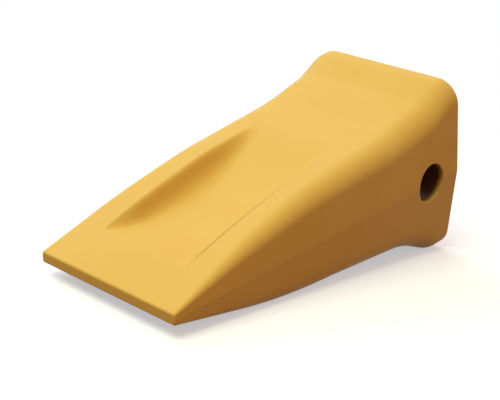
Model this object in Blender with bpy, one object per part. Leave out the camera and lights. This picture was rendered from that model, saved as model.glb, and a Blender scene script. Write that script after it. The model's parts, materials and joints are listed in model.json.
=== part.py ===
"""Bucket tooth for an excavator, cast in one piece.

Blender 4.5, metres, +Z up. The casting is drawn in its own frame: x across the bucket lip, y from the
cutting edge back to the rim of the collar, z up from the parting plane of the mould. It is then laid on
the ground the way a loose tooth comes to rest, on its cutting edge and on the lip under its collar.
"""

import math

import bmesh
import bpy
from mathutils import Matrix, Vector

# Lengths along the tooth, all measured from the cutting edge or from the rim
LENGTH = 0.261
BEVEL_FROM_EDGE = 0.055
TOP_SHOULDER_FROM_EDGE = 0.112
BOTTOM_SHOULDER_FROM_EDGE = 0.090
TOP_WAIST_FROM_RIM = 0.069
TOP_FLARE_FROM_RIM = 0.028
TOP_LAND_LENGTH = 0.0095
BOTTOM_WAIST_FROM_RIM = 0.0455
LIP_LENGTH = 0.015

# Full widths across the parting plane
EDGE_WIDTH = 0.1050
SHOULDER_WIDTH = 0.1110
COLLAR_WIDTH = 0.1213

# Heights above and depths below the parting plane
EDGE_THICKNESS = 0.0068
BEVEL_HEIGHT = 0.0206
TOP_SHOULDER_HEIGHT = 0.0332
TOP_WAIST_HEIGHT = 0.0410
TOP_FLARE_HEIGHT = 0.0503
COLLAR_TOP_HEIGHT = 0.0604
BOTTOM_SHOULDER_DEPTH = 0.0304
BOTTOM_WAIST_DEPTH = 0.0431
LIP_DEPTH = 0.0583

# Half the length over which each bend of the side view is rounded
BEVEL_ROUNDING = 0.015
TOP_SHOULDER_ROUNDING = 0.015
BOTTOM_SHOULDER_ROUNDING = 0.036
WAIST_ROUNDING = 0.016
FLARE_ROUNDING = 0.003
LAND_ROUNDING = 0.004
LIP_ROUNDING = 0.0045

# Draft of the mould on the sides, and how far the rim stands back from its bend
TOP_DRAFT = math.radians(4.3)
BOTTOM_DRAFT = math.radians(3.55)
RIM_SETBACK = 0.0010
RIM_LEAN_LENGTH = 0.012

# Long edges: the radius grows with the height of the casting up to its greatest value
TOP_EDGE_RADIUS = 0.0165
BOTTOM_EDGE_RADIUS = 0.0135
EDGE_RADIUS_SHARE = 0.38
CUTTING_EDGE_RADIUS = 0.0010
RIM_EDGE_RADIUS = 0.0018

# Hollow of the top between its two side ribs
HOLLOW_START = 0.029
HOLLOW_END = 0.158
HOLLOW_WIDTH = 0.067
HOLLOW_FLOOR_SAG = 0.0093
HOLLOW_END_ROUNDING = 0.010

# Side walls of the hollow: run for each unit of depth, the least run at the rear, and how steeply
# they start under the crest
HOLLOW_WALL_SHARE = 1.1
HOLLOW_REAR_RUN = 0.013
HOLLOW_WALL_POWER = 4

# Pocket that takes the nose of the adapter
POCKET_DEPTH = 0.138
POCKET_BOX_LENGTH = 0.026
POCKET_BOX_WIDTH = 0.077
POCKET_BOX_HEIGHT = 0.030
POCKET_MOUTH_WIDTH = 0.090
POCKET_MOUTH_HEIGHT = 0.088
POCKET_BOX_DRAFT = math.radians(1.5)
POCKET_CORNER_RADIUS = 0.009

# Bore of the cross pin
PIN_BORE_DIAMETER = 0.026
PIN_FROM_RIM = 0.0305

# Fineness of the facets
LONGEST_STEP = 0.0085
BEND_STEP = 0.0028
FLOOR_STEPS = 3
WALL_STEPS = 8
LAND_STEPS = 1
TOP_ARC_STEPS = 7
SIDE_STEPS = 2
BOTTOM_ARC_STEPS = 5
BOTTOM_STEPS = 3
EDGE_ARC_STEPS = 3
BORE_SIDES = 48
CUTTER_OVERRUN = 0.020

PAINT_COLOUR = (0.723, 0.434, 0.045, 1.0)
PAINT_ROUGHNESS = 0.42


def clear_scene():
    """Remove whatever the opened file holds."""
    for item in list(bpy.data.objects):
        bpy.data.objects.remove(item, do_unlink=True)


def rounded_bend(distance, half):
    """Rise of a unit slope that starts at distance 0, eased by a parabola over half to either side."""
    if distance <= -half:
        return 0.0
    if distance >= half:
        return distance
    return (distance + half) ** 2 / (4.0 * half)


def line_with_bends(y, points):
    """Height at y of straight runs through points (place, height, half length of the rounding)."""
    start, height, _ = points[0]
    slopes = [
        (after[1] - before[1]) / (after[0] - before[0]) for before, after in zip(points, points[1:])
    ]
    value = height + slopes[0] * (y - start)
    for (place, _, half), before, after in zip(points[1:-1], slopes, slopes[1:]):
        value += (after - before) * rounded_bend(y - place, half)
    return value


def top_points():
    """Side view of the top, taken where its plane would meet the sides."""
    return (
        (0.0, EDGE_THICKNESS / 2, 0.0),
        (BEVEL_FROM_EDGE, BEVEL_HEIGHT, BEVEL_ROUNDING),
        (TOP_SHOULDER_FROM_EDGE, TOP_SHOULDER_HEIGHT, TOP_SHOULDER_ROUNDING),
        (LENGTH - TOP_WAIST_FROM_RIM, TOP_WAIST_HEIGHT, WAIST_ROUNDING),
        (LENGTH - TOP_FLARE_FROM_RIM, TOP_FLARE_HEIGHT, FLARE_ROUNDING),
        (LENGTH - TOP_LAND_LENGTH, COLLAR_TOP_HEIGHT, LAND_ROUNDING),
        (LENGTH, COLLAR_TOP_HEIGHT, 0.0),
    )


def bottom_points():
    """Side view of the underside, as depths below the parting plane."""
    return (
        (0.0, EDGE_THICKNESS / 2, 0.0),
        (BOTTOM_SHOULDER_FROM_EDGE, BOTTOM_SHOULDER_DEPTH, BOTTOM_SHOULDER_ROUNDING),
        (LENGTH - BOTTOM_WAIST_FROM_RIM, BOTTOM_WAIST_DEPTH, WAIST_ROUNDING),
        (LENGTH - LIP_LENGTH, LIP_DEPTH, LIP_ROUNDING),
        (LENGTH, LIP_DEPTH, 0.0),
    )


def width_points():
    """Half width at the parting plane, seen from above."""
    return (
        (0.0, EDGE_WIDTH / 2, 0.0),
        (TOP_SHOULDER_FROM_EDGE, SHOULDER_WIDTH / 2, TOP_SHOULDER_ROUNDING),
        (LENGTH, COLLAR_WIDTH / 2, 0.0),
    )


def hollow_depth(y):
    """Depth of the hollow at y: its floor sags below a chord as an arc and is eased out at its end."""
    length = HOLLOW_END - HOLLOW_START
    share = (y - HOLLOW_START) / length
    if share <= 0.0:
        return 0.0
    front = line_with_bends(HOLLOW_START, top_points())
    back = line_with_bends(HOLLOW_END, top_points())
    before = line_with_bends(HOLLOW_END - HOLLOW_END_ROUNDING, top_points())
    floor = front + (back - front) * share - 4.0 * HOLLOW_FLOOR_SAG * share * (1.0 - share)
    depth = line_with_bends(y, top_points()) - floor
    floor_slope = (back - front + 4.0 * HOLLOW_FLOOR_SAG) / length
    easing = floor_slope * HOLLOW_END_ROUNDING - (back - before)
    if share > 0.5 and depth < easing:
        return max(0.0, depth + easing) ** 2 / (4.0 * easing)
    return max(0.0, depth)


def wall_run(y, depth):
    """Run of the hollow's walls: it grows with the depth and keeps a least run towards the rear."""
    share = min(1.0, max(0.0, (y - HOLLOW_START) / (HOLLOW_END - HOLLOW_START)))
    return math.hypot(HOLLOW_WALL_SHARE * depth, HOLLOW_REAR_RUN * share**2)


def wall_drop(share):
    """Share of the depth reached on the hollow's wall, steep under the crest and gentle at the foot."""
    power = HOLLOW_WALL_POWER
    return 1.0 - (1.0 - share) ** power * (1.0 + power * share)


def corner_arc(half_width, height, radius, draft, steps):
    """Arc from the level face round into the drafted side, as (x, z) with z measured outward."""
    centre_z = height - radius
    centre_x = half_width - centre_z * math.tan(draft) - radius / math.cos(draft)
    points = []
    for step in range(steps + 1):
        angle = math.pi / 2 + (draft - math.pi / 2) * step / steps
        points.append((centre_x + radius * math.cos(angle), centre_z + radius * math.sin(angle)))
    return points


def even_steps(first, last, steps):
    """Points between two points, without the first and with the last."""
    return [
        tuple(a + (b - a) * step / steps for a, b in zip(first, last)) for step in range(1, steps + 1)
    ]


def half_section(y, inset):
    """Right half of the section at y, from the middle of the top round to the middle of the bottom."""
    half_width = line_with_bends(y, width_points()) - inset
    top = line_with_bends(y, top_points()) - inset
    bottom = line_with_bends(y, bottom_points()) - inset
    top_arc = corner_arc(
        half_width, top, min(TOP_EDGE_RADIUS, EDGE_RADIUS_SHARE * top), TOP_DRAFT, TOP_ARC_STEPS
    )
    bottom_arc = [
        (x, -z)
        for x, z in corner_arc(
            half_width,
            bottom,
            min(BOTTOM_EDGE_RADIUS, EDGE_RADIUS_SHARE * bottom),
            BOTTOM_DRAFT,
            BOTTOM_ARC_STEPS,
        )
    ]
    bottom_arc.reverse()

    depth = hollow_depth(y)
    crest = min(HOLLOW_WIDTH / 2, top_arc[0][0] - inset)
    foot = crest - wall_run(y, depth)
    points = [(0.0, top - depth)]
    points += even_steps((0.0, top - depth), (foot, top - depth), FLOOR_STEPS)
    for step in range(WALL_STEPS - 1, -1, -1):
        share = (step / WALL_STEPS) ** 1.3
        points.append((crest + (foot - crest) * share, top - depth * wall_drop(share)))
    points += even_steps((crest, top), top_arc[0], LAND_STEPS)
    points += top_arc[1:]
    points += even_steps(top_arc[-1], (half_width, 0.0), SIDE_STEPS)
    points += even_steps((half_width, 0.0), bottom_arc[0], SIDE_STEPS)
    points += bottom_arc[1:]
    points += even_steps(bottom_arc[-1], (0.0, -bottom), BOTTOM_STEPS)
    return points


def rim_lean(y, z):
    """How far a point moves towards the cutting edge, because the rim bends back at the parting plane."""
    height = COLLAR_TOP_HEIGHT if z > 0 else LIP_DEPTH
    share = max(0.0, 1.0 - (LENGTH - y) / RIM_LEAN_LENGTH)
    return RIM_SETBACK * share * abs(z) / height


def station_places():
    """Places and insets of the sections, closer together where the casting bends."""
    bends = [(HOLLOW_START, 0.0), (HOLLOW_END, HOLLOW_END_ROUNDING)]
    for points in (top_points(), bottom_points()):
        bends += [(place, half) for place, _, half in points[1:-1]]
    first = CUTTING_EDGE_RADIUS
    last = LENGTH - RIM_EDGE_RADIUS
    fixed = {first, last}
    for place, half in bends:
        fixed.update(p for p in (place - half, place, place + half) if first < p < last)
    tight = [(place, half) for place, half in bends if 0.0 < half < 2 * LONGEST_STEP]
    ordered = sorted(fixed)
    places = [first]
    for here in ordered[1:]:
        gap = here - places[-1]
        if gap < BEND_STEP / 2 and here != last:
            continue
        middle = here - gap / 2
        step = BEND_STEP if any(abs(middle - place) < half for place, half in tight) else LONGEST_STEP
        count = max(1, math.ceil(gap / step))
        start = places[-1]
        places += [start + gap * k / count for k in range(1, count)] + [here]

    edge = []
    rim = []
    for step in range(EDGE_ARC_STEPS):
        angle = math.pi / 2 * step / EDGE_ARC_STEPS
        edge.append((first - first * math.sin(angle), first * (1.0 - math.cos(angle))))
        rim.append((last + RIM_EDGE_RADIUS * math.sin(angle), RIM_EDGE_RADIUS * (1.0 - math.cos(angle))))
    edge.append((0.0, first))
    rim.append((LENGTH, RIM_EDGE_RADIUS))
    edge.reverse()
    return edge + [(place, 0.0) for place in places[1:-1]] + rim


def casting_mesh():
    """Outside of the casting: its sections bridged from the cutting edge to the rim."""
    mesh = bmesh.new()
    rings = []
    for y, inset in station_places():
        right = half_section(y, inset)
        left = [(-x, z) for x, z in right[-2:0:-1]]
        ring = [mesh.verts.new((x, y - rim_lean(y, z), z)) for x, z in right + left]
        rings.append(ring)
    count = len(rings[0])
    for ring, following in zip(rings, rings[1:]):
        for k in range(count):
            after = (k + 1) % count
            mesh.faces.new((ring[k], ring[after], following[after], following[k]))
    mesh.faces.new(list(reversed(rings[0])))

    # The rim is two flat halves that meet in a bend at the parting plane
    rim = rings[-1]
    heights = [vert.co.z for vert in rim]
    right_bend = min(range(count // 2), key=lambda k: abs(heights[k]))
    left_bend = count - right_bend
    mesh.faces.new(rim[left_bend:] + rim[: right_bend + 1])
    mesh.faces.new(rim[right_bend : left_bend + 1])
    bmesh.ops.recalc_face_normals(mesh, faces=mesh.faces)
    return mesh


def rounded_rectangle(half_width, half_height, radius, y, steps=6):
    """Closed outline with rounded corners in the plane at y."""
    outline = []
    for quarter, (side, level) in enumerate(((1, 1), (-1, 1), (-1, -1), (1, -1))):
        for step in range(steps + 1):
            angle = math.pi / 2 * (quarter + step / steps)
            outline.append(
                (
                    side * (half_width - radius) + radius * math.cos(angle),
                    y,
                    level * (half_height - radius) + radius * math.sin(angle),
                )
            )
    return outline


def pocket_mesh():
    """Space for the adapter's nose: a near parallel box at its end, then a wedge out to the mouth."""
    end = LENGTH - POCKET_DEPTH
    box_growth = POCKET_BOX_LENGTH * math.tan(POCKET_BOX_DRAFT)
    box_width = POCKET_BOX_WIDTH / 2 + box_growth
    box_height = POCKET_BOX_HEIGHT / 2 + box_growth
    wedge = POCKET_DEPTH - POCKET_BOX_LENGTH
    overrun = (wedge + CUTTER_OVERRUN) / wedge
    places = (
        (end, POCKET_BOX_WIDTH / 2, POCKET_BOX_HEIGHT / 2),
        (end + POCKET_BOX_LENGTH, box_width, box_height),
        (
            LENGTH + CUTTER_OVERRUN,
            box_width + (POCKET_MOUTH_WIDTH / 2 - box_width) * overrun,
            box_height + (POCKET_MOUTH_HEIGHT / 2 - box_height) * overrun,
        ),
    )
    mesh = bmesh.new()
    rings = []
    for y, half_width, half_height in places:
        outline = rounded_rectangle(half_width, half_height, POCKET_CORNER_RADIUS, y)
        rings.append([mesh.verts.new(point) for point in outline])
    for ring, following in zip(rings, rings[1:]):
        for k, vert in enumerate(ring):
            after = (k + 1) % len(ring)
            mesh.faces.new((vert, ring[after], following[after], following[k]))
    mesh.faces.new(list(reversed(rings[0])))
    mesh.faces.new(rings[-1])
    bmesh.ops.recalc_face_normals(mesh, faces=mesh.faces)
    return mesh


def bore_mesh():
    """Cross bore for the pin, on the parting plane and through both side walls."""
    mesh = bmesh.new()
    turned = Matrix.Translation((0.0, LENGTH - PIN_FROM_RIM, 0.0)) @ Matrix.Rotation(math.pi / 2, 4, "Y")
    bmesh.ops.create_cone(
        mesh,
        cap_ends=True,
        segments=BORE_SIDES,
        radius1=PIN_BORE_DIAMETER / 2,
        radius2=PIN_BORE_DIAMETER / 2,
        depth=COLLAR_WIDTH + 2 * CUTTER_OVERRUN,
        matrix=turned,
    )
    bmesh.ops.recalc_face_normals(mesh, faces=mesh.faces)
    return mesh


def add_object(name, mesh, parent):
    """Put a bmesh into the scene as a named object under its parent."""
    data = bpy.data.meshes.new(name)
    mesh.to_mesh(data)
    mesh.free()
    item = bpy.data.objects.new(name, data)
    bpy.context.scene.collection.objects.link(item)
    item.parent = parent
    return item


def add_cutter(name, mesh, parent, target):
    """Add a guide solid and cut it out of the target."""
    cutter = add_object(name, mesh, parent)
    cutter.hide_render = True
    cutter.display_type = "WIRE"
    cut = target.modifiers.new(name, "BOOLEAN")
    cut.operation = "DIFFERENCE"
    cut.solver = "EXACT"
    cut.object = cutter


def resting_pose(points):
    """Turn about x and shift that lay the casting on the ground, on its edge and on its lip."""
    front = [p for p in points if p.y < LENGTH / 3]
    back = [p for p in points if p.y > 2 * LENGTH / 3]
    tilt = 0.0
    for _ in range(8):
        lowest_front = min(front, key=lambda p: p.z * math.cos(tilt) + p.y * math.sin(tilt))
        lowest_back = min(back, key=lambda p: p.z * math.cos(tilt) + p.y * math.sin(tilt))
        tilt = math.atan2(lowest_front.z - lowest_back.z, lowest_back.y - lowest_front.y)
    turn = Matrix.Rotation(tilt, 4, "X")
    turned = [turn @ p for p in points]
    lengths = [p.y for p in turned]
    shift = Vector((0.0, -(min(lengths) + max(lengths)) / 2, -min(p.z for p in turned)))
    return tilt, shift


def paint():
    """Satin yellow paint over the cast steel."""
    material = bpy.data.materials.new("yellow_paint")
    material.use_nodes = True
    shader = material.node_tree.nodes["Principled BSDF"]
    shader.inputs["Base Color"].default_value = PAINT_COLOUR
    shader.inputs["Roughness"].default_value = PAINT_ROUGHNESS
    shader.inputs["Metallic"].default_value = 0.0
    return material


def main():
    """Build the tooth and lay it down."""
    clear_scene()
    ground = bpy.data.objects.new("resting_frame", None)
    bpy.context.scene.collection.objects.link(ground)

    tooth = add_object("tooth", casting_mesh(), ground)
    tooth.data.materials.append(paint())
    tooth.data.shade_smooth()
    tooth.data.set_sharp_from_angle(angle=math.radians(35))
    add_cutter("nose_pocket_cutter", pocket_mesh(), ground, tooth)
    add_cutter("pin_bore_cutter", bore_mesh(), ground, tooth)

    tilt, shift = resting_pose([vert.co.copy() for vert in tooth.data.vertices])
    ground.rotation_euler = (tilt, 0.0, 0.0)
    ground.location = shift
    bpy.context.view_layer.update()


main()
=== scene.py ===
"""Looks of a cast bucket tooth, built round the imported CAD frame.

The tooth is one steel casting under satin yellow paint. Its skin is worked out as one long grid of
sections, from the middle of the cutting edge back over the rim and on into the nose pocket, with the
cross pin bore sewn in between the outer skin and the pocket. Lengths are in metres. The casting is drawn
in its own frame, x across the bucket lip, y from the cutting edge to the rim and z up from the parting
plane of the mould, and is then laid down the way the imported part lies.
"""

import json
import logging
import math
from collections.abc import Callable
from dataclasses import dataclass, field
from enum import Enum
from typing import Any

import bpy
import numpy as np
from mathutils import Matrix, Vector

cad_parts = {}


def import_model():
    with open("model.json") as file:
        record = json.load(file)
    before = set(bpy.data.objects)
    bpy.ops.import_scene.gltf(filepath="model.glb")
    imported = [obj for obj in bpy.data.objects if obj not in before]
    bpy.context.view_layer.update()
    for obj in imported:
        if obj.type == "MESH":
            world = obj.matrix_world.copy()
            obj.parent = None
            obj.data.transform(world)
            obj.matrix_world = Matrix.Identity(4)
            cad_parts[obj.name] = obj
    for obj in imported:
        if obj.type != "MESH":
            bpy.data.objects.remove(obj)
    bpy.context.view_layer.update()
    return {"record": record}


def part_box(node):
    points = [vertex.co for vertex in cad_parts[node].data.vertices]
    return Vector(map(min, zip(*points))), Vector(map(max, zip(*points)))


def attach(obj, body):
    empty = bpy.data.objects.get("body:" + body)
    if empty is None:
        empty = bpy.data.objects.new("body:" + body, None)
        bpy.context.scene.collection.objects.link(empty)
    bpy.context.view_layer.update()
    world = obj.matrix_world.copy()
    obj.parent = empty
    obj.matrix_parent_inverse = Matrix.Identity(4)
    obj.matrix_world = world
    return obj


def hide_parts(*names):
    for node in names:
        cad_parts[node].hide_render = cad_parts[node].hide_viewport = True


LOG = logging.getLogger("tooth")
FRAME_WIDTH = 500
WHITE = "#FFFFFF"
ON_MIDDLE_PLANE = 1e-9
RingLayer = Callable[[np.ndarray, float], np.ndarray]


def linear(colour: str) -> tuple[float, float, float, float]:
    """Turn an sRGB hex colour into linear RGBA.

    Args:
        colour: Six hex digits, with or without a leading hash.

    Returns:
        Linear red, green and blue with an alpha of 1.
    """
    digits = colour.lstrip("#")
    parts = [int(digits[k : k + 2], 16) / 255.0 for k in (0, 2, 4)]
    values = [c / 12.92 if c <= 0.04045 else ((c + 0.055) / 1.055) ** 2.4 for c in parts]
    return values[0], values[1], values[2], 1.0


def add_node(tree: Any, kind: str, settings: dict[str, Any] | None = None, **inputs: Any) -> Any:
    """Add one node, set its options and fill or link its inputs.

    Args:
        tree: Node tree that takes the node.
        kind: Blender's type name of the node.
        settings: Attributes of the node itself.
        **inputs: Input sockets by name, underscores for spaces, each a value or another node's output.
            A name of two underscores and a number picks the socket by its place.

    Returns:
        The new node.
    """
    node = tree.nodes.new(kind)
    for name, value in (settings or {}).items():
        setattr(node, name, value)
    for name, value in inputs.items():
        socket = node.inputs[int(name[2:]) if name.startswith("__") else name.replace("_", " ")]
        if isinstance(value, bpy.types.NodeSocket):
            tree.links.new(value, socket)
        else:
            socket.default_value = value
    return node


def add_seen_share(tree: bpy.types.NodeTree) -> bpy.types.NodeSocket:
    """Give 1 for what the camera sees straight, mirrored or through glass, and 0 for stray light.

    Args:
        tree: Node tree of the floor or of the world.

    Returns:
        The socket that carries the share.
    """
    path = add_node(tree, "ShaderNodeLightPath")
    seen = path.outputs["Is Camera Ray"]
    for ray in ("Is Glossy Ray", "Is Transmission Ray"):
        rays = {"__0": seen, "__1": path.outputs[ray]}
        seen = add_node(tree, "ShaderNodeMath", {"operation": "MAXIMUM"}, **rays).outputs[0]
    return seen


class Side(Enum):
    """The two halves of the casting, either side of its middle plane."""

    RIGHT = 1.0
    LEFT = -1.0


@dataclass(frozen=True)
class Profile:
    """A side view or plan: straight runs through points, each bend eased by a parabola.

    Attributes:
        points: Place along the tooth, height there, and half the length over which the bend is eased.
    """

    points: tuple[tuple[float, float, float], ...]

    def at(self, y: np.ndarray | float) -> np.ndarray:
        """Height at y: the first run carried on, plus each change of slope times an eased ramp.

        Args:
            y: Places along the tooth.

        Returns:
            Heights, in the shape of y.
        """
        place = np.asarray(y, float)
        slopes = [(b[1] - a[1]) / (b[0] - a[0]) for a, b in zip(self.points, self.points[1:])]
        value = self.points[0][1] + slopes[0] * (place - self.points[0][0])
        for (bend, _, half), before, after in zip(self.points[1:-1], slopes, slopes[1:]):
            past = place - bend
            if half > 0.0:
                eased = np.clip(past + half, 0.0, 2.0 * half) ** 2 / (4.0 * half)
                ramp = np.where(past > half, past, eased)
            else:
                ramp = np.maximum(past, 0.0)
            value = value + (after - before) * ramp
        return value


@dataclass(frozen=True)
class RestingPose:
    """How the casting lies on the ground: a turn about x, then a shift.

    Attributes:
        cosine: Cosine of the turn.
        sine: Sine of the turn.
        shift: Place of the casting's own origin on the ground.
    """

    cosine: float
    sine: float
    shift: tuple[float, float, float]

    @classmethod
    def from_record(cls, record: dict[str, Any], seat: float) -> "RestingPose":
        """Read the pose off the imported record's seat for the adapter's nose, which is square to y.

        Args:
            record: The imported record.
            seat: How far the seat lies from the cutting edge.

        Returns:
            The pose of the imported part.
        """
        mount = next(m for m in record["mounts"] if m["name"] == "nose_seat")
        angle = math.atan2(mount["axis"][2], mount["axis"][1])
        cosine, sine = math.cos(angle), math.sin(angle)
        x, y, z = mount["pos_m"]
        return cls(cosine, sine, (x, y - seat * cosine, z - seat * sine))

    def turn(self, vectors: np.ndarray) -> np.ndarray:
        """Turn directions about x: y and z mix by the cosine and sine of the tilt."""
        x, y, z = np.moveaxis(np.asarray(vectors, float), -1, 0)
        return np.stack([x, y * self.cosine - z * self.sine, y * self.sine + z * self.cosine], -1)

    def lay(self, points: np.ndarray) -> np.ndarray:
        """Turn points and set them down on the ground."""
        return self.turn(points) + np.asarray(self.shift)


@dataclass(frozen=True)
class Hollow:
    """Hollow of the top between the two side ribs.

    Attributes:
        start: Where the floor leaves the top, behind the cutting edge.
        end: Where the floor runs out again.
        width: Between the crests of the ribs.
        sag: How far the arc of the floor sags under its chord.
        wall_base: Run that a side wall has in front, where the depth is nothing.
        wall_growth: What it gains from there to the rear end.
        wall_share: What it gains for each unit of depth.
        crest_half: Half the share of the run over which the wall is rounded into the crest.
        foot_half: Half the share over which it is rounded into the floor.
        front_easing: Depth over which the floor is eased into the top in front.
        end_rounding: Half the length over which it is rounded into the top behind.
        extent: Shares of the length between which the hollow can have a depth, its easing included.
    """

    start: float = 0.029
    end: float = 0.158
    width: float = 0.0662
    sag: float = 0.0102
    wall_base: float = 0.0030
    wall_growth: float = 0.0060
    wall_share: float = 0.58
    crest_half: float = 0.115
    foot_half: float = 0.44
    front_easing: float = 0.0008
    end_rounding: float = 0.011
    extent: tuple[float, float] = (-0.10, 1.15)

    def depth(self, y: np.ndarray, top: Profile) -> np.ndarray:
        """Depth under the top: the top less a chord and a parabola that sags below it.

        Where the arc comes up to the top it is eased in by the square of what is left of the easing.

        Args:
            y: Places along the tooth.
            top: Side view of the top.

        Returns:
            Depths, nothing well outside the hollow.
        """
        length = self.end - self.start
        share = (y - self.start) / length
        front, back = top.at(self.start), top.at(self.end)
        floor = front + (back - front) * share - 4.0 * self.sag * share * (1.0 - share)
        raw = top.at(y) - floor
        floor_slope = (back - front + 4.0 * self.sag) / length
        rear_easing = floor_slope * self.end_rounding - (back - top.at(self.end - self.end_rounding))
        easing = np.where(share > 0.5, rear_easing, self.front_easing)
        eased = np.clip(raw + easing, 0.0, 2.0 * easing) ** 2 / (4.0 * easing)
        near = (share > self.extent[0]) & (share < self.extent[1])
        return np.where(near, np.where(raw > easing, raw, eased), 0.0)

    def wall_run(self, y: np.ndarray, depth: np.ndarray) -> np.ndarray:
        """Run of a side wall: a base that grows evenly to the rear, and a share of the depth."""
        share = np.clip((y - self.start) / (self.end - self.start), 0.0, 1.0)
        return self.wall_base + self.wall_growth * share + self.wall_share * depth

    def drop(self, share: np.ndarray) -> np.ndarray:
        """Share of the depth reached across a wall: a straight slope, rounded into crest and floor.

        Args:
            share: Share of the wall's run, from the crest.

        Returns:
            Nothing at the crest and 1 at the foot.
        """
        wall = Profile(
            (
                (0.0, 0.0, 0.0),
                (self.crest_half, 0.0, self.crest_half),
                (1.0 - self.foot_half, 1.0, self.foot_half),
                (1.0, 1.0, 0.0),
            )
        )
        return wall.at(share)


@dataclass(frozen=True)
class NosePocket:
    """Pocket for the adapter's nose: a near parallel box at its end, then a wedge out to the mouth.

    Attributes:
        depth: From the rim to the flat seat.
        box_length: Length of the near parallel end.
        box_width: Full width at the seat.
        box_height: Full height at the seat.
        mouth_width: Full width at the rim.
        mouth_height: Full height at the rim.
        box_draft: Draft of the near parallel end, in radians.
        corner_radius: Radius of the long corners.
        mouth_radius: Rounding where the pocket meets the rim.
        seat_radius: Rounding where the walls meet the seat.
    """

    depth: float = 0.138
    box_length: float = 0.026
    box_width: float = 0.077
    box_height: float = 0.030
    mouth_width: float = 0.090
    mouth_height: float = 0.088
    box_draft: float = math.radians(1.5)
    corner_radius: float = 0.009
    mouth_radius: float = 0.0018
    seat_radius: float = 0.0030

    def half_size(self, y: np.ndarray, length: float) -> tuple[np.ndarray, np.ndarray]:
        """Half width and half height at y: straight lines through seat, end of the box and mouth.

        Args:
            y: Places along the tooth.
            length: Length of the tooth.

        Returns:
            Half widths and half heights.
        """
        growth = self.box_length * math.tan(self.box_draft)
        seat = length - self.depth
        places = (seat, seat + self.box_length, length)
        widths = (self.box_width / 2, self.box_width / 2 + growth, self.mouth_width / 2)
        heights = (self.box_height / 2, self.box_height / 2 + growth, self.mouth_height / 2)
        return np.interp(y, places, widths), np.interp(y, places, heights)


@dataclass(frozen=True)
class PinBore:
    """Bore of the cross pin through both side walls.

    Attributes:
        diameter: Of the bore.
        from_rim: From the rim to the axis, which lies in the parting plane.
        edge_radius: Rounding of its edge on the outside.
        inner_radius: Rounding of its edge in the pocket.
        reach: Half the side of the patch of skin that is laid out round it.
        outer_rings: Rings of skin on the outside, up to the rounded edge.
        edge_rings: Rings round that edge.
        inner_rings: Rings on the pocket's wall, up to its rounded edge.
        inner_edge_rings: Rings round that edge.
        tube_rings: Rings between the two edges.
    """

    diameter: float = 0.026
    from_rim: float = 0.0305
    edge_radius: float = 0.0005
    inner_radius: float = 0.0004
    reach: float = 0.0185
    outer_rings: int = 8
    edge_rings: int = 5
    inner_rings: int = 6
    inner_edge_rings: int = 3
    tube_rings: int = 7


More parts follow.
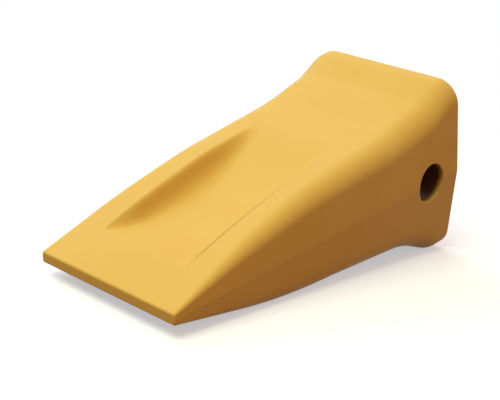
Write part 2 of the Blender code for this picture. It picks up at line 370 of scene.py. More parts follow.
@dataclass
class ToothCasting:
    """The casting, outside, rim, pocket and bore in one closed skin.

    Attributes:
        length: From the cutting edge to the rim, at the parting plane.
        top: Height of the level top over the parting plane.
        bottom: Depth of the level bottom under it.
        plan: Half width at the parting plane.
        top_draft: Lean of the sides above the parting plane, in radians.
        bottom_draft: Lean of the sides below it, in radians.
        top_radius: Largest radius of the corners between top and sides.
        bottom_radius: Largest radius of the corners between sides and bottom.
        radius_share: Share of the height that a corner's radius takes where the tooth is low.
        cutting_edge_radius: Rounding of the cutting edge.
        rim_edge_radius: Rounding of the rim's outer edge.
        rim_setback: How far the rim stands back at the top and at the bottom.
        rim_lean_length: Length over which the sections come to lean with the rim.
        station_step: Largest distance between two sections.
        rounding_steps: Steps of each rounding that runs across the sections.
        cap_steps: Steps from the middle of the cutting edge or of the seat to their outlines.
        rim_steps: Steps across the face of the rim.
        hollow: Hollow of the top.
        pocket: Pocket for the adapter's nose.
        bore: Bore of the cross pin.
        floor_steps: Steps across half the floor of the hollow.
        wall_steps: Steps up a wall of the hollow.
        wall_crowding: Power by which the steps of the wall crowd towards the crest.
        land_steps: Steps from the crest to the corner.
        top_arc_steps: Steps round the upper corner.
        side_steps: Steps of a side above the parting plane, and below it.
        bottom_arc_steps: Steps round the lower corner.
        bottom_steps: Steps across half the bottom.
    """

    length: float = 0.261
    top: Profile = Profile(
        (
            (0.0, 0.0034, 0.0),
            (0.055, 0.0206, 0.015),
            (0.112, 0.0332, 0.015),
            (0.192, 0.0410, 0.016),
            (0.233, 0.0503, 0.003),
            (0.2515, 0.0604, 0.004),
            (0.261, 0.0604, 0.0),
        )
    )
    bottom: Profile = Profile(
        (
            (0.0, 0.0034, 0.0),
            (0.090, 0.0304, 0.036),
            (0.2155, 0.0431, 0.016),
            (0.246, 0.0583, 0.0045),
            (0.261, 0.0583, 0.0),
        )
    )
    plan: Profile = Profile(((0.0, 0.0525, 0.0), (0.112, 0.0555, 0.015), (0.261, 0.06065, 0.0)))
    top_draft: float = math.radians(4.3)
    bottom_draft: float = math.radians(3.55)
    top_radius: float = 0.0165
    bottom_radius: float = 0.0135
    radius_share: float = 0.38
    cutting_edge_radius: float = 0.0010
    rim_edge_radius: float = 0.0018
    rim_setback: float = 0.0010
    rim_lean_length: float = 0.012
    station_step: float = 0.0013
    rounding_steps: int = 5
    cap_steps: int = 8
    rim_steps: int = 8
    hollow: Hollow = field(default_factory=Hollow)
    pocket: NosePocket = field(default_factory=NosePocket)
    bore: PinBore = field(default_factory=PinBore)
    floor_steps: int = 12
    wall_steps: int = 18
    wall_crowding: float = 1.25
    land_steps: int = 8
    top_arc_steps: int = 14
    side_steps: int = 16
    bottom_arc_steps: int = 12
    bottom_steps: int = 16

    @property
    def seat(self) -> float:
        """Distance from the cutting edge to the seat of the pocket."""
        return self.length - self.pocket.depth

    @property
    def top_steps(self) -> int:
        """Steps from the middle of the top to its corner arc."""
        return self.floor_steps + self.wall_steps + self.land_steps

    def lean(self, y: np.ndarray, z: np.ndarray) -> np.ndarray:
        """How far a point moves forward: the rim bends at the parting plane and stands back from it."""
        height = np.where(z > 0.0, self.top.points[-1][1], self.bottom.points[-1][1])
        share = np.clip(1.0 - (self.length - y) / self.rim_lean_length, 0.0, 1.0)
        return self.rim_setback * share * np.abs(z) / height

    @staticmethod
    def corner(
        half_width: np.ndarray, height: np.ndarray, radius: np.ndarray, draft: float, steps: int
    ) -> np.ndarray:
        """Corner arcs from the level face round into the drafted side.

        The centre lies one radius below the level face and one radius inside the side, which leans in
        by the draft. The angle runs evenly from straight up to square off the side.

        Args:
            half_width: Half widths at the parting plane.
            height: Heights of the level face above it.
            radius: Radii of the arcs.
            draft: Lean of the side, in radians.
            steps: Steps of each arc.

        Returns:
            Array of rows, steps + 1 points, x and z.
        """
        centre_z = height - radius
        centre_x = half_width - centre_z * math.tan(draft) - radius / math.cos(draft)
        angle = np.linspace(math.pi / 2, draft, steps + 1)
        x = centre_x[:, None] + radius[:, None] * np.cos(angle)
        z = centre_z[:, None] + radius[:, None] * np.sin(angle)
        return np.stack([x, z], -1)

    @staticmethod
    def run(first: np.ndarray, last: np.ndarray, steps: int) -> np.ndarray:
        """Even steps between two columns of points, without the first and with the last."""
        share = np.linspace(0.0, 1.0, steps + 1)[1:, None]
        return first[:, None] * (1.0 - share) + last[:, None] * share

    def outer_sections(self, y: np.ndarray, inset: np.ndarray) -> np.ndarray:
        """Right halves of the outer sections, from the middle of the top round to the middle below.

        A section is a level top with the hollow let into it, a corner arc, a side that leans in above
        and below the parting plane, a second arc and a level bottom. The inset moves every face inward.

        Args:
            y: Places of the sections.
            inset: How far each section is drawn in.

        Returns:
            Array of sections, points, x and z.
        """
        half_width = self.plan.at(y) - inset
        top = self.top.at(y) - inset
        bottom = self.bottom.at(y) - inset
        top_arc = self.corner(
            half_width,
            top,
            np.minimum(self.top_radius, self.radius_share * top),
            self.top_draft,
            self.top_arc_steps,
        )
        low_arc = self.corner(
            half_width,
            bottom,
            np.minimum(self.bottom_radius, self.radius_share * bottom),
            self.bottom_draft,
            self.bottom_arc_steps,
        )[:, ::-1] * np.array([1.0, -1.0])
        depth = self.hollow.depth(y, self.top)
        crest = np.minimum(self.hollow.width / 2, top_arc[:, 0, 0] - inset)
        foot = crest - self.hollow.wall_run(y, depth)
        share = np.linspace(1.0, 0.0, self.wall_steps + 1)[1:] ** self.wall_crowding
        wall = np.stack(
            [
                crest[:, None] + (foot - crest)[:, None] * share,
                top[:, None] - depth[:, None] * self.hollow.drop(share),
            ],
            -1,
        )
        middle = np.stack([0.0 * y, top - depth], -1)
        foot_point = np.stack([foot, top - depth], -1)
        parting = np.stack([half_width, 0.0 * y], -1)
        parts = [
            middle[:, None],
            self.run(middle, foot_point, self.floor_steps),
            wall,
            self.run(wall[:, -1], top_arc[:, 0], self.land_steps),
            top_arc[:, 1:],
            self.run(top_arc[:, -1], parting, self.side_steps),
            self.run(parting, low_arc[:, 0], self.side_steps),
            low_arc[:, 1:],
            self.run(low_arc[:, -1], np.stack([0.0 * y, -bottom], -1), self.bottom_steps),
        ]
        return np.concatenate(parts, 1)

    def pocket_sections(self, y: np.ndarray, growth: np.ndarray) -> np.ndarray:
        """Right halves of the pocket's sections, rounded boxes with as many points as the outer ones.

        Args:
            y: Places of the sections.
            growth: How far each section is widened, less than nothing where it is drawn in.

        Returns:
            Array of sections, points, x and z.
        """
        half_width, half_height = self.pocket.half_size(y, self.length)
        half_width, half_height = half_width + growth, half_height + growth
        radius = self.pocket.corner_radius + growth
        arc = self.corner(half_width, half_height, radius, 0.0, self.top_arc_steps)
        low_arc = self.corner(half_width, half_height, radius, 0.0, self.bottom_arc_steps)
        low_arc = low_arc[:, ::-1] * np.array([1.0, -1.0])
        middle = np.stack([0.0 * y, half_height], -1)
        parting = np.stack([half_width, 0.0 * y], -1)
        parts = [
            middle[:, None],
            self.run(middle, arc[:, 0], self.top_steps),
            arc[:, 1:],
            self.run(arc[:, -1], parting, self.side_steps),
            self.run(parting, low_arc[:, 0], self.side_steps),
            low_arc[:, 1:],
            self.run(low_arc[:, -1], np.stack([0.0 * y, -half_height], -1), self.bottom_steps),
        ]
        return np.concatenate(parts, 1)

    def stations(self) -> np.ndarray:
        """Places of the sections between the rounded cutting edge and the rounded rim, evenly spaced."""
        fixed = (
            self.cutting_edge_radius,
            self.hollow.start,
            self.seat,
            self.hollow.end,
            self.length - self.rim_edge_radius,
        )
        runs = [
            np.linspace(a, b, math.ceil((b - a) / self.station_step), endpoint=False)
            for a, b in zip(fixed, fixed[1:])
        ]
        return np.concatenate(runs + [np.array(fixed[-1:])])

    def raise_rows(self, y: np.ndarray, sections: np.ndarray) -> np.ndarray:
        """Stand sections up at their places and let the rim lean."""
        place = np.broadcast_to(y[:, None], sections.shape[:2])
        z = sections[..., 1]
        return np.stack([sections[..., 0], place - self.lean(place, z), z], -1)

    def grid(self) -> tuple[np.ndarray, np.ndarray]:
        """Right half of the whole skin as one grid, and the place along the tooth of each of its rows.

        The rows grow out of a pole in the middle of the cutting edge, run back along the outside, over
        the rounded rim, across its face, round the mouth and forward along the pocket to its seat.

        Returns:
            Points as rows, columns and x, y, z, and the rows' places.
        """
        quarter = np.linspace(0.0, math.pi / 2, self.rounding_steps + 1)
        stations = self.stations()
        edge = self.cutting_edge_radius
        rim = self.rim_edge_radius
        nose_y = (edge - edge * np.sin(quarter))[::-1][:-1]
        nose_inset = (edge - edge * np.cos(quarter))[::-1][:-1]
        rim_y = self.length - rim + rim * np.sin(quarter[1:])
        rim_inset = rim - rim * np.cos(quarter[1:])
        outer_y = np.concatenate([nose_y, stations, rim_y])
        inset = np.concatenate([nose_inset, 0.0 * stations, rim_inset])
        outer = self.raise_rows(outer_y, self.outer_sections(outer_y, inset))

        mouth = self.pocket.mouth_radius
        end = self.pocket.seat_radius
        mouth_y = self.length - mouth + mouth * np.cos(quarter)
        mouth_growth = mouth - mouth * np.sin(quarter)
        along = stations[(stations > self.seat + end) & (stations < self.length - mouth)][::-1]
        end_y = self.seat + end - end * np.sin(quarter)
        end_growth = end * np.cos(quarter) - end
        inner_y = np.concatenate([mouth_y, along, end_y])
        growth = np.concatenate([mouth_growth, 0.0 * along, end_growth])
        inner = self.raise_rows(inner_y, self.pocket_sections(inner_y, growth))

        share = np.linspace(0.0, 1.0, self.rim_steps + 1)[1:-1, None, None]
        face = outer[-1] * (1.0 - share) + inner[0] * share
        closing = np.linspace(1.0, 0.0, self.cap_steps + 1)[1:-1, None, None]
        square, lengthwise = np.array([1.0, 0.0, 1.0]), np.array([0.0, 1.0, 0.0])
        front = outer[0] * square * closing[::-1] + lengthwise * outer_y[0]
        back = inner[-1] * square * closing + lengthwise * inner_y[-1]
        points = np.concatenate([front, outer, face, inner, back])
        places = np.concatenate(
            [
                np.full(len(front), outer_y[0]),
                outer_y,
                np.full(len(face), self.length),
                inner_y,
                np.full(len(back), inner_y[-1]),
            ]
        )
        return points, places

    def side_x(self, y: np.ndarray, z: np.ndarray) -> np.ndarray:
        """Outside of the side at (y, z): half width of the plan less the draft times the height."""
        draft = np.where(z > 0.0, math.tan(self.top_draft), math.tan(self.bottom_draft))
        return self.plan.at(y) - np.abs(z) * draft

    def bore_rows(self, outer_loop: np.ndarray, inner_loop: np.ndarray) -> np.ndarray:
        """Rings of skin from a loop on the outside, in through the bore, to a loop on the pocket's wall.

        Each ring is a blend of the loop with a circle, then a circle whose radius and depth follow a
        quarter turn at either edge of the bore. The depth is taken from the side there, so the edge is
        rounded evenly although the side bends at the parting plane.

        Args:
            outer_loop: Points of the loop on the outside.
            inner_loop: Points of the loop on the pocket's wall, in the same order.

        Returns:
            Array of rings, points and x, y, z, with both loops.
        """
        bore = self.bore
        axis = np.array([self.length - bore.from_rim, 0.0])
        angle = np.arctan2(outer_loop[:, 2], outer_loop[:, 1] - axis[0])
        ring = np.stack([np.cos(angle), np.sin(angle)], -1)

        def outside(place: np.ndarray, sunk: float) -> np.ndarray:
            """Ring on the outer skin at these y and z, sunk into the steel."""
            return np.column_stack([self.side_x(place[:, 0], place[:, 1]) - sunk, place])

        def inside(place: np.ndarray, sunk: float) -> np.ndarray:
            """Ring on the pocket's wall at these y and z, sunk into the steel."""
            return np.column_stack([self.pocket.half_size(place[:, 0], self.length)[0] + sunk, place])

        def lead_in(
            loop: np.ndarray, edge: float, steps: int, turns: int, lay: RingLayer
        ) -> list[np.ndarray]:
            """Rings from a loop over the skin to the bore, then round its edge."""
            radius = bore.diameter / 2 + edge
            circle = axis + ring * radius
            shares = np.linspace(0.0, 1.0, steps + 1)[1:]
            rings = [loop] + [lay(loop[:, 1:] * (1.0 - s) + circle * s, 0.0) for s in shares]
            for turn in np.linspace(0.0, math.pi / 2, turns + 1)[1:]:
                place = axis + ring * (radius - edge * math.sin(turn))
                rings.append(lay(place, edge - edge * math.cos(turn)))
            return rings

        rows = lead_in(outer_loop, bore.edge_radius, bore.outer_rings, bore.edge_rings, outside)
        inner = lead_in(inner_loop, bore.inner_radius, bore.inner_rings, bore.inner_edge_rings, inside)
        start, stop = rows[-1], inner[-1]
        shares = np.linspace(0.0, 1.0, bore.tube_rings + 2)[1:-1]
        rows += [start * (1.0 - s) + stop * s for s in shares]
        return np.array(rows + inner[::-1])

    def half_skin(self) -> tuple[np.ndarray, np.ndarray]:
        """Right half of the skin with the bore sewn in.

        Returns:
            Points, and faces as four indices each, a pole's triangles with their last index repeated.
        """
        points, places = self.grid()
        rows, columns = points.shape[:2]
        index = np.arange(rows * columns).reshape(rows, columns)
        flat = points.reshape(-1, 3)
        parting = self.top_steps + self.top_arc_steps + self.side_steps
        axis_y = self.length - self.bore.from_rim
        turn_row = int(np.argmax(places >= self.length))
        first = int(np.argmin(np.abs(places[:turn_row] - (axis_y - self.bore.reach))))
        last = int(np.argmin(np.abs(places[:turn_row] - (axis_y + self.bore.reach))))
        inner_last = turn_row + int(np.argmin(np.abs(places[turn_row:] - places[first])))
        inner_first = turn_row + int(np.argmin(np.abs(places[turn_row:] - places[last])))
        if inner_last - inner_first != last - first:
            raise ValueError("the pocket's rows don't match the outer rows round the bore")
        outer_level = abs(flat[index[first, parting - 1]][2])
        spread = math.ceil(self.bore.reach / outer_level)
        low, high = parting - spread, parting + spread

        keep = np.ones((rows - 1, columns - 1), bool)
        keep[first:last, low:high] = False
        keep[inner_first:inner_last, low:high] = False
        i, k = np.nonzero(keep)
        faces = [np.column_stack([index[i, k], index[i, k + 1], index[i + 1, k + 1], index[i + 1, k]])]

        down, across = np.arange(first, last), np.arange(low, high)
        tall, wide = len(down), len(across)
        loop_rows = np.concatenate([down, np.full(wide, last), down[::-1] + 1, np.full(wide, first)])
        loop_columns = np.concatenate([np.full(tall, low), across, np.full(tall, high), across[::-1] + 1])
        outer_loop = index[loop_rows, loop_columns]
        inner_loop = index[inner_last - (loop_rows - first), loop_columns]
        rings = self.bore_rows(flat[outer_loop], flat[inner_loop])
        fresh = len(flat) + np.arange((len(rings) - 2) * len(outer_loop)).reshape(len(rings) - 2, -1)
        sewn = np.concatenate([outer_loop[None], fresh, inner_loop[None]])
        after = np.roll(sewn, -1, 1)
        tube = np.stack([sewn[:-1], sewn[1:], after[1:], after[:-1]], -1).reshape(-1, 4)
        faces.append(tube)
        flat = np.concatenate([flat, rings[1:-1].reshape(-1, 3)])

        poles = np.array([[0.0, places[0], 0.0], [0.0, places[-1], 0.0]])
        front, back = len(flat), len(flat) + 1
        flat = np.concatenate([flat, poles])
        for row, pole in ((index[0, ::-1], front), (index[-1], back)):
            faces.append(np.column_stack([row[:-1], row[1:], np.full(columns - 1, pole), row[:-1]]))
        return flat, np.concatenate(faces)

    def skin(self) -> tuple[np.ndarray, list[tuple[int, ...]]]:
        """Whole skin: the right half and its mirror image, joined along the middle plane.

        Returns:
            Points, and faces that all look outward.
        """
        points, faces = self.half_skin()
        used = np.unique(faces)
        packed = np.full(len(points), -1)
        packed[used] = np.arange(len(used))
        points, faces = points[used], packed[faces]
        middle = np.abs(points[:, 0]) < ON_MIDDLE_PLANE
        points[middle, 0] = 0.0
        partner = np.where(middle, np.arange(len(points)), len(points) + np.cumsum(~middle) - 1)
        both = [faces if side is Side.RIGHT else partner[faces][:, ::-1] for side in Side]
        mirrored = points[~middle] * np.array([Side.LEFT.value, 1.0, 1.0])
        polygons = [tuple(dict.fromkeys(face)) for face in np.concatenate(both).tolist()]
        return np.concatenate([points, mirrored]), polygons

    def build(self, pose: RestingPose, film: "PaintedShadeMasks") -> bpy.types.Object:
        """Make the casting's mesh in its place on the ground.

        Args:
            pose: How the casting lies.
            film: Where shade is painted into its paint's colour.

        Returns:
            The smooth shaded piece.
        """
        points, polygons = self.skin()
        data = bpy.data.meshes.new("cast_tooth")
        data.from_pydata(pose.lay(points).tolist(), [], polygons)
        data.validate()
        data.polygons.foreach_set("use_smooth", np.ones(len(data.polygons), bool))
        for name, share in film.shares(self, points).items():
            data.attributes.new(name.value, "FLOAT", "POINT").data.foreach_set("value", share)
        data.update()
        piece = bpy.data.objects.new("cast_tooth", data)
        bpy.context.scene.collection.objects.link(piece)
        LOG.info("cast_tooth: %d points, %d faces", len(points), len(polygons))
        return piece


class PaintedShade(Enum):
    """Places where shade is painted into the paint's colour, each an attribute of the casting's points.
    """

    WALL_SHADE = "painted_wall_shade"
    CREST_SHADE = "painted_crest_shade"
    RECESS_SHADE = "painted_recess_shade"


@dataclass(frozen=True)
class PaintedShadeMasks:
    """Where the painted shade, fitted to the photograph, lies on the skin, as a share for each point.

    Attributes:
        fade: Depth over which the painted shade sets in behind the edges of the pocket and the bore.
        margin: How far outside the walls of the pocket a point still counts as inside.
        wall_shade_band: Distances inside the crest between which the walls' painted shade rises and
            falls.
        wall_shade_reach: Shares of the hollow's length between which it does.
        crest_shade_band: Distances inside the crest between which the painted line of shade rises and
            falls.
        crest_shade_reach: Shares of the hollow's length between which it does.
    """

    fade: float = 0.0042
    margin: float = 0.003
    wall_shade_band: tuple[float, ...] = (0.0100, 0.0050, 0.0030, 0.0010)
    wall_shade_reach: tuple[float, ...] = (0.06, 0.20, 0.70, 1.00)
    crest_shade_band: tuple[float, ...] = (0.0027, 0.0015, -0.0001, -0.0013)
    crest_shade_reach: tuple[float, ...] = (0.00, 0.14, 0.25, 0.80)

    @staticmethod
    def between(value: np.ndarray, limits: np.ndarray | tuple[float, ...]) -> np.ndarray:
        """Rise from 0 to 1 between the first two limits, fall back to 0 between the last two."""
        return np.interp(value, limits, (0.0, 1.0, 1.0, 0.0))

    def shares(self, casting: ToothCasting, points: np.ndarray) -> dict[PaintedShade, np.ndarray]:
        """Work out the shares of painted shade from the places of the points.

        A point is in the pocket when it lies under the pocket's half width and half height at its y, and
        in the bore when it lies inside the bore's radius about its axis. There the share grows from the
        rim or from the side inward. The bands of the hollow are a rise and a fall across it times a rise
        and a fall along it.

        Args:
            casting: The casting that is painted.
            points: Points in the casting's own frame.

        Returns:
            One share for each point and each kind of painted shade.
        """
        x, y, z = points.T
        # Painted shade inside the pocket and the bore, setting in over the fade behind their edges.
        half_width, half_height = casting.pocket.half_size(y, casting.length)
        outside = np.maximum(np.abs(x) - half_width, np.abs(z) - half_height)
        inside = (outside < self.margin) & (y > casting.seat - self.margin)
        in_pocket = inside * np.clip((casting.length - y) / self.fade, 0.0, 1.0)
        bore = casting.bore
        from_axis = np.hypot(y - (casting.length - bore.from_rim), z)
        within = from_axis < bore.diameter / 2 + bore.inner_radius
        in_bore = within * np.clip((casting.side_x(y, z) - np.abs(x)) / self.fade, 0.0, 1.0)
        hollow = casting.hollow
        crest = hollow.width / 2
        share = (y - hollow.start) / (hollow.end - hollow.start)
        on_top = z > 0.0
        # Painted shade on both walls of the hollow.
        wall = self.between(np.abs(x), crest - np.array(self.wall_shade_band))
        # Painted shade as a thin dark line on the right rib's crest only, since x keeps its sign.
        line = self.between(x, crest - np.array(self.crest_shade_band))
        return {
            PaintedShade.WALL_SHADE: wall * self.between(share, self.wall_shade_reach) * on_top,
            PaintedShade.CREST_SHADE: line * self.between(share, self.crest_shade_reach) * on_top,
            PaintedShade.RECESS_SHADE: np.maximum(in_pocket, in_bore),
        }


@dataclass(frozen=True)
class SatinCastingPaint:
    """Satin enamel sprayed over a shot blasted steel casting.

    The film levels the coarse grain of the mould, so what is left for the eye is a fine pebble, a slow
    drift in the tone where the film is thicker, and a soft sheen that breaks up a little.

    Attributes:
        base: The paint as sprayed.
        thin: The paint where the film is thinner and the primer warms it.
        roughness: Of the satin film.
        sheen_change: How far the roughness moves with the tone, down and up.
        tone_span: Values of the slow noise between which it moves.
        specular: Share of the film's gloss, low because the fine pebble scatters it.
        refraction: Index of refraction of the film.
        pebble: Size of the pebble, about the grit of the blast, coarsened so that it shows.
        pebble_noise: Detail and roughness of its noise.
        pebble_strength: Share of its relief that shows.
        pebble_height: Height of its relief.
        drift: Size of the slow changes of tone.
        drift_noise: Detail and roughness of their noise.
        wall_shade_tone: Painted shade on the hollow's walls, fitted to the photograph because shape and
            light
        alone leave them too light. A thin film there is a guess. Set to base, it goes.
        crest_shade_tone: Painted shade, a thin dark line on the right rib's crest, fitted likewise.
            crest_shade_tone: Tone of the thin dark line on the right rib's crest, fitted likewise, its
            cause a guess.
        recess_shade_tone: Painted shade inside the pocket and the bore, fitted to the photograph's dark
            bore.
    """

    base: str = "#E6CA6F"
    thin: str = "#E2C066"
    roughness: float = 0.48
    sheen_change: tuple[float, float] = (-0.03, 0.04)
    tone_span: tuple[float, float] = (0.3, 0.7)
    specular: float = 0.15
    refraction: float = 1.5
    pebble: float = 0.0011
    pebble_noise: tuple[float, float] = (2.0, 0.6)
    pebble_strength: float = 0.12
    pebble_height: float = 0.0002
    drift: float = 0.035
    drift_noise: tuple[float, float] = (3.0, 0.55)
    # Painted shade: darker tones for the hollow's walls, the right crest, and inside the pocket and the
    # bore.
    wall_shade_tone: str = "#D6AE58"
    crest_shade_tone: str = "#CBA650"
    recess_shade_tone: str = "#5C3F26"

    def material(self) -> bpy.types.Material:
        """Build the paint from Object coordinates, and paint shade into its colour by the points' shares.

        Returns:
            The material.
        """
        paint = bpy.data.materials.new("satin_enamel_on_cast_steel")
        paint.use_nodes = True
        tree = paint.node_tree
        tree.nodes.clear()
        place = add_node(tree, "ShaderNodeTexCoord").outputs["Object"]
        slow, fine = (
            add_node(
                tree,
                "ShaderNodeTexNoise",
                Vector=place,
                Scale=1.0 / size,
                Detail=noise[0],
                Roughness=noise[1],
            )
            for size, noise in ((self.drift, self.drift_noise), (self.pebble, self.pebble_noise))
        )
        tone = add_node(
            tree,
            "ShaderNodeMix",
            {"data_type": "RGBA"},
            __0=slow.outputs["Fac"],
            __6=linear(self.base),
            __7=linear(self.thin),
        )
        sheen = add_node(
            tree,
            "ShaderNodeMapRange",
            Value=slow.outputs["Fac"],
            From_Min=self.tone_span[0],
            From_Max=self.tone_span[1],
            To_Min=self.roughness + self.sheen_change[0],
            To_Max=self.roughness + self.sheen_change[1],
        )
        bump = add_node(
            tree,
            "ShaderNodeBump",
            Strength=self.pebble_strength,
            Distance=self.pebble_height,
            Height=fine.outputs["Fac"],
        )
        colour = tone.outputs[2]
        # Shade painted into the colour on the hollow's walls, the right crest and inside the pocket and
        # the bore.
        fitted = {PaintedShade.WALL_SHADE: self.wall_shade_tone, PaintedShade.CREST_SHADE: self.crest_shade_tone, PaintedShade.RECESS_SHADE: self.recess_shade_tone}
        for film, other in fitted.items():
            share = add_node(tree, "ShaderNodeAttribute", {"attribute_name": film.value})
            mix = add_node(
                tree,
                "ShaderNodeMix",
                {"data_type": "RGBA"},
                __0=share.outputs["Fac"],
                __6=colour,
                __7=linear(other),
            )
            colour = mix.outputs[2]
        shader = add_node(
            tree,
            "ShaderNodeBsdfPrincipled",
            Base_Color=colour,
            Roughness=sheen.outputs["Result"],
            Metallic=0.0,
            IOR=self.refraction,
            Specular_IOR_Level=self.specular,
            Normal=bump.outputs["Normal"],
        )
        add_node(tree, "ShaderNodeOutputMaterial", Surface=shader.outputs["BSDF"])
        return paint


@dataclass(frozen=True)
class StudioFloor:
    """Plain white paper floor.

    Attributes:
        size: Side of the sheet.
        paper: The paper as the camera sees it, a little cool against the warm light of the room.
        bounce: Colour with which the paper lights the tooth from below, fitted to the photograph.
        glow: Added to the paper where it is seen, so that it is near white and its shadow faint.
        lit_from: Distance from the tooth where the sheet starts to be lit on its own.
        lit_to: Distance where it is plain white.
    """

    size: float = 12.0
    paper: str = "#DEECFF"
    bounce: str = "#755A40"
    glow: str = "#B2B5B9"
    lit_from: float = 0.20
    lit_to: float = 0.70

    def build(self) -> bpy.types.Object:
        """Lay the sheet at the height of the ground.

        Returns:
            The floor.
        """
        half = self.size / 2
        corners = [(-half, -half, 0.0), (half, -half, 0.0), (half, half, 0.0), (-half, half, 0.0)]
        data = bpy.data.meshes.new("paper_floor")
        data.from_pydata(corners, [], [(0, 1, 2, 3)])
        floor = bpy.data.objects.new("paper_floor", data)
        bpy.context.scene.collection.objects.link(floor)
        data.materials.append(self.material())
        return floor

    def material(self) -> bpy.types.Material:
        """Matt paper that glows a little where it is seen, and lights the tooth with its own tone.

        Returns:
            The material.
        """
        material = bpy.data.materials.new("matt_paper")
        material.use_nodes = True
        tree = material.node_tree
        tree.nodes.clear()
        below = add_node(tree, "ShaderNodeBsdfDiffuse", Color=linear(self.bounce))
        matt = add_node(tree, "ShaderNodeBsdfDiffuse", Color=linear(self.paper))
        place = add_node(tree, "ShaderNodeTexCoord").outputs["Object"]
        away = add_node(tree, "ShaderNodeVectorMath", {"operation": "LENGTH"}, __0=place)
        lit = add_node(
            tree,
            "ShaderNodeMapRange",
            {"interpolation_type": "SMOOTHSTEP"},
            Value=away.outputs["Value"],
            From_Min=self.lit_from,
            From_Max=self.lit_to,
        )
        glow = add_node(tree, "ShaderNodeEmission", Color=linear(self.glow), Strength=1.0)
        near = add_node(tree, "ShaderNodeAddShader", __0=matt.outputs[0], __1=glow.outputs[0])
        far = add_node(tree, "ShaderNodeEmission", Color=linear(WHITE), Strength=1.0)
        seen = add_node(
            tree,
            "ShaderNodeMixShader",
            __0=lit.outputs["Result"],
            __1=near.outputs[0],
            __2=far.outputs[0],
        )
        shown = add_node(
            tree,
            "ShaderNodeMixShader",
            __0=add_seen_share(tree),
            __1=below.outputs[0],
            __2=seen.outputs[0],
        )
        add_node(tree, "ShaderNodeOutputMaterial", Surface=shown.outputs[0])
        return material


class Lamp(Enum):
    """Jobs of the studio's soft lamps."""

    OVERHEAD = "overhead_soft_box"
    WINDOW = "window_soft_box"
    REAR = "rear_soft_box"


@dataclass(frozen=True)
class SoftBox:
    """One square soft box that looks at the tooth.

    Attributes:
        lamp: Its job.
        azimuth: Where it stands, in degrees from straight in front of the cutting edge towards +x.
        elevation: Its height over the tooth, in degrees.
        power: In watts.
        tint: Its colour, near white.
        distance: From the tooth.
        side: Side of its face.
    """

    lamp: Lamp
    azimuth: float
    elevation: float
    power: float
    tint: tuple[float, float, float]
    distance: float = 1.6
    side: float = 1.0

    def build(self, target: np.ndarray) -> bpy.types.Object:
        """Hang the box and turn it to the target.

        Args:
            target: Point that it looks at.

        Returns:
            The lamp.
        """
        around, over = math.radians(self.azimuth), math.radians(self.elevation)
        level = math.cos(over)
        back = np.array([math.sin(around) * level, -math.cos(around) * level, math.sin(over)])
        data = bpy.data.lights.new(self.lamp.value, "AREA")
        data.shape = "SQUARE"
        data.size = self.side
        data.energy = self.power
        data.color = self.tint
        box = bpy.data.objects.new(self.lamp.value, data)
        bpy.context.scene.collection.objects.link(box)
        box.location = target + back * self.distance
        box.rotation_euler = Matrix(look_axes(back)).to_euler()
        return box


def look_axes(back: np.ndarray, roll: float = 0.0) -> list[list[float]]:
    """Axes of a lamp or camera as matrix rows, from the direction that its back faces.

    Right is square to that direction and to the vertical, up is square to both, and the roll turns
    right and up about the line of sight.

    Args:
        back: Direction from the target to the lamp or camera.
        roll: Turn about the line of sight, in radians.

    Returns:
        Rows of a rotation matrix whose columns are right, up and back.
    """
    behind = np.asarray(back, float) / np.linalg.norm(back)
    right = np.cross([0.0, 0.0, 1.0], behind)
    right /= np.linalg.norm(right)
    up = np.cross(behind, right)
    rolled_right = math.cos(roll) * right + math.sin(roll) * up
    rolled_up = math.cos(roll) * up - math.sin(roll) * right
    return np.column_stack([rolled_right, rolled_up, behind]).tolist()


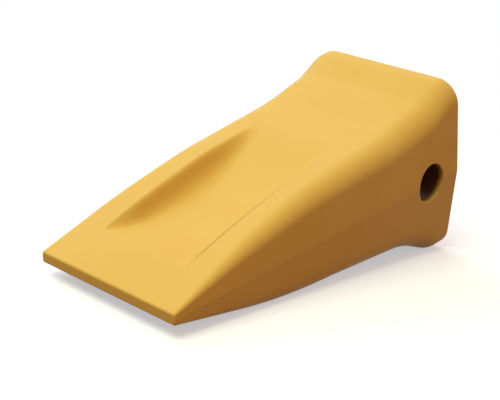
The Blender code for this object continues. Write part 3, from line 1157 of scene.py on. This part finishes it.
@dataclass(frozen=True)
class StudioCamera:
    """Camera at the photograph's angle, given in the casting's own frame.

    Attributes:
        yaw: Turn from straight ahead of the cutting edge towards +x, in degrees.
        pitch: Height over the parting plane, in degrees.
        roll: Turn about the line of sight, in degrees.
        distance: From the target.
        target: Point that it looks at.
        focal: Focal length in pixels of the photograph's frame.
        sensor_width: In millimetres.
        shift: Between the middles of the frame and of its middle pixel, in pixels.
        clip: Nearest and farthest distance seen.
    """

    yaw: float = 40.738
    pitch: float = 25.658
    roll: float = 0.325
    distance: float = 0.70612
    target: tuple[float, float, float] = (-0.009237, 0.130537, 0.001926)
    focal: float = 1135.83
    sensor_width: float = 36.0
    shift: float = 0.5
    clip: tuple[float, float] = (0.01, 50.0)

    def build(self, pose: RestingPose) -> bpy.types.Object:
        """Set the camera up beside the resting tooth and make it the scene's.

        Args:
            pose: How the casting lies.

        Returns:
            The camera.
        """
        yaw, pitch, roll = (math.radians(v) for v in (self.yaw, self.pitch, self.roll))
        level = math.cos(pitch)
        back = np.array([math.sin(yaw) * level, -math.cos(yaw) * level, math.sin(pitch)])
        axes = np.array(look_axes(back, roll))
        place = np.array(self.target) + back * self.distance
        turned = np.stack([pose.turn(axes[:, k]) for k in range(3)], -1)
        data = bpy.data.cameras.new("camera")
        data.sensor_fit = "HORIZONTAL"
        data.sensor_width = self.sensor_width
        data.lens = self.focal * self.sensor_width / FRAME_WIDTH
        data.shift_x = -self.shift / FRAME_WIDTH
        data.shift_y = self.shift / FRAME_WIDTH
        data.clip_start, data.clip_end = self.clip
        camera = bpy.data.objects.new("camera", data)
        bpy.context.scene.collection.objects.link(camera)
        camera.location = pose.lay(place)
        camera.rotation_euler = Matrix(turned.tolist()).to_euler()
        bpy.context.scene.camera = camera
        return camera


@dataclass(frozen=True)
class Surroundings:
    """Even light of the room, seen as white by the camera and in reflections.

    Attributes:
        light: Tint of the room's light, strongly warm, fitted to the photograph's shaded side.
        strength: Of the room's light.
    """

    light: tuple[float, float, float, float] = (1.0, 0.44, 0.20, 1.0)
    strength: float = 0.495

    def build(self) -> None:
        """Set the world up: white where it is seen, else the room's light."""
        world = bpy.data.worlds.new("room")
        bpy.context.scene.world = world
        world.use_nodes = True
        tree = world.node_tree
        tree.nodes.clear()
        light = add_node(tree, "ShaderNodeBackground", Color=self.light, Strength=self.strength)
        white = add_node(tree, "ShaderNodeBackground", Color=linear(WHITE), Strength=1.0)
        mix = add_node(
            tree,
            "ShaderNodeMixShader",
            __0=add_seen_share(tree),
            __1=light.outputs[0],
            __2=white.outputs[0],
        )
        add_node(tree, "ShaderNodeOutputWorld", Surface=mix.outputs[0])


SOFT_BOXES = (
    SoftBox(Lamp.OVERHEAD, 0.0, 60.0, 13.8, (0.96, 1.14, 0.76)),
    SoftBox(Lamp.WINDOW, -90.0, 40.0, 4.3, (1.0, 1.12, 1.30)),
    SoftBox(Lamp.REAR, -125.0, 50.0, 2.9, (1.0, 1.12, 1.30)),
)


def main() -> None:
    """Load the frame, build and dress the tooth, then set up the studio."""
    logging.basicConfig(level=logging.INFO, format="%(name)s: %(message)s")
    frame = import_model()
    casting = ToothCasting()
    pose = RestingPose.from_record(frame["record"], casting.seat)
    # The casting's points carry the shares of painted shade.
    tooth = casting.build(pose, PaintedShadeMasks())
    tooth.data.materials.append(SatinCastingPaint().material())
    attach(tooth, "root")
    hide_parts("tooth")

    StudioFloor().build()
    Surroundings().build()
    low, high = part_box("tooth")
    for box in SOFT_BOXES:
        box.build((np.array(low) + np.array(high)) / 2)
        LOG.info("%s: %.1f W", box.lamp.value, box.power)
    StudioCamera().build(pose)
    bpy.context.scene.view_settings.view_transform = "Standard"


if __name__ == "__main__":
    main()
